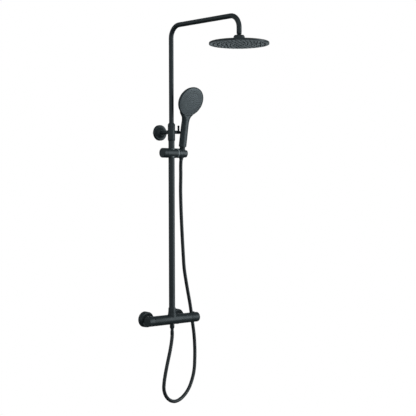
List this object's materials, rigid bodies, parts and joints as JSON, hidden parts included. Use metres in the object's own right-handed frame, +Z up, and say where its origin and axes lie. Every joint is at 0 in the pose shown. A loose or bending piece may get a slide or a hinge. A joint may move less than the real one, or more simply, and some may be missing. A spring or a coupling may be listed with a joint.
{
  "type": "rainfall shower column",
  "caption": "Wall-held shower column: thermostatic bar valve, telescopic riser with overhead arm and round rain head, and a hand shower on a hose in a sliding, tilting holder.",
  "frame": {"origin": "on the wall plane, midway between the two inlets, at the height of the bar valve's axis", "axes": "+Z up, -Y out of the wall into the room, +X to the right seen from the room"},
  "size_m": [0.2658, 0.5835, 1.4487],
  "materials": {
    "black_metal": "matt black coated brass and steel",
    "black_coated_plastic": "ABS with the same matt black coat",
    "black_plastic": "moulded, fine grain",
    "grey_plate": "moulded, satin",
    "pale_plastic": "polished natural nylon",
    "hose_skin": "satin, smooth PVC",
    "rubber": "matt",
    "brass": "machined",
    "steel": "machined"
  },
  "bodies": {
    "column": {"valve_body": "black_metal", "thermostatic_cartridge": "brass", "diverter_cartridge": "brass", "left_union_nut": "black_metal", "left_union_washer": "rubber", "left_wall_union": "black_metal", "left_wall_flange": "black_metal", "right_union_nut": "black_metal", "right_union_washer": "rubber", "right_wall_union": "black_metal", "right_wall_flange": "black_metal", "riser_foot_nut": "black_metal", "riser_foot_washer": "rubber", "riser_lower_tube": "black_metal", "bracket_flange": "black_metal", "bracket_wall_plate": "steel", "bracket_screw_left": "steel", "bracket_screw_right": "steel", "bracket_stub": "black_metal", "bracket_grub_screw": "steel", "riser_sleeve": "black_metal", "sleeve_seal": "rubber", "hose_foot_nut": "black_metal", "hose_foot_washer": "rubber", "hose_foot_tail": "black_metal", "hose_run": "hose_skin"},
    "temperature_handle": {"temperature_handle": "black_coated_plastic", "temperature_grub_screw": "steel", "temperature_button_spring": "steel"},
    "temperature_button": {"temperature_stop_button": "black_plastic"},
    "flow_handle": {"flow_handle": "black_coated_plastic", "flow_grub_screw": "steel", "flow_button_spring": "steel"},
    "flow_button": {"flow_stop_button": "black_plastic"},
    "slider": {"slider_body": "black_coated_plastic", "slider_bush": "pale_plastic", "brake_pad": "rubber", "holder_friction_ring": "pale_plastic", "holder_axle": "steel", "hose_bend": "hose_skin"},
    "clamp_knob": {"clamp_knob": "black_coated_plastic"},
    "holder": {"handset_holder": "black_coated_plastic", "hose_top": "hose_skin"},
    "hose_nut": {"hose_cone_nut": "black_metal", "hose_top_tail": "black_metal", "handset_washer": "rubber"},
    "handset": {"handset_body": "black_coated_plastic", "handset_face": "grey_plate", "handset_inlet": "brass"},
    "riser_slide": {"upper_tube_guide": "black_plastic", "upper_tube_seal": "rubber"},
    "arm": {"riser_upper_tube": "black_metal", "head_ball_stud": "black_metal"},
    "lock_screw": {"lock_screw": "black_metal"},
    "swivel_ring": {"head_swivel_ring": "black_plastic"},
    "head": {"head_ball_housing": "black_metal", "head_shell": "black_metal", "head_feed_seal": "rubber", "head_jet_mat": "rubber", "head_spray_plate": "grey_plate"}
  },
  "joints": [
    {"name": "temperature_turn", "type": "hinge", "parent": "column", "child": "temperature_handle", "pos_m": [-0.1, -0.075, 0], "axis": [1, 0, 0], "range_deg": [-130, 50]},
    {"name": "temperature_stop", "type": "slide", "parent": "temperature_handle", "child": "temperature_button", "axis": [0, 0, -1], "range_m": [0, 0.002], "stiffness_N_per_m": 400, "springref_m": -0.001, "deforming": ["temperature_button_spring"]},
    {"name": "flow_turn", "type": "hinge", "parent": "column", "child": "flow_handle", "pos_m": [0.1, -0.075, 0], "axis": [1, 0, 0], "range_deg": [-90, 90]},
    {"name": "flow_stop", "type": "slide", "parent": "flow_handle", "child": "flow_button", "axis": [0, 0, -1], "range_m": [0, 0.002], "stiffness_N_per_m": 400, "springref_m": -0.001, "deforming": ["flow_button_spring"]},
    {"name": "slider_slide", "type": "slide", "parent": "column", "child": "slider", "axis": [0, 0, 1], "range_m": [-0.3, 0], "deforming": ["hose_run"]},
    {"name": "clamp_turn", "type": "hinge", "parent": "slider", "child": "clamp_knob", "pos_m": [-0.038, -0.075, 0.634], "axis": [1, 0, 0], "range_deg": [0, 150]},
    {"name": "holder_tilt", "type": "hinge", "parent": "slider", "child": "holder", "pos_m": [0.046, -0.075, 0.634], "axis": [1, 0, 0], "range_deg": [0, 30], "deforming": ["hose_bend"]},
    {"name": "handset_lift", "type": "slide", "parent": "holder", "child": "hose_nut", "axis": [0, -0.1736, 0.9848], "range_m": [0, 0.035], "deforming": ["hose_top"]},
    {"name": "handset_turn", "type": "hinge", "parent": "hose_nut", "child": "handset", "pos_m": [0.0467, -0.08, 0.634], "axis": [0, -0.1736, 0.9848], "range_deg": [-20, 40]},
    {"name": "riser_extend", "type": "slide", "parent": "column", "child": "riser_slide", "axis": [0, 0, 1], "range_m": [-0.16, 0.06]},
    {"name": "arm_swivel", "type": "hinge", "parent": "riser_slide", "child": "arm", "pos_m": [0, -0.075, 0.6], "axis": [0, 0, 1], "range_deg": [-60, 60]},
    {"name": "lock_turn", "type": "hinge", "parent": "column", "child": "lock_screw", "pos_m": [0.03, -0.075, 0.714], "axis": [1, 0, 0], "range_deg": [-90, 0]},
    {"name": "head_spin", "type": "hinge", "parent": "arm", "child": "swivel_ring", "pos_m": [0, -0.451, 1.021], "axis": [0, 0, 1], "continuous": true},
    {"name": "head_tilt", "type": "hinge", "parent": "swivel_ring", "child": "head", "pos_m": [0, -0.451, 1.021], "axis": [1, 0, 0], "range_deg": [-12, 12]}
  ]
}
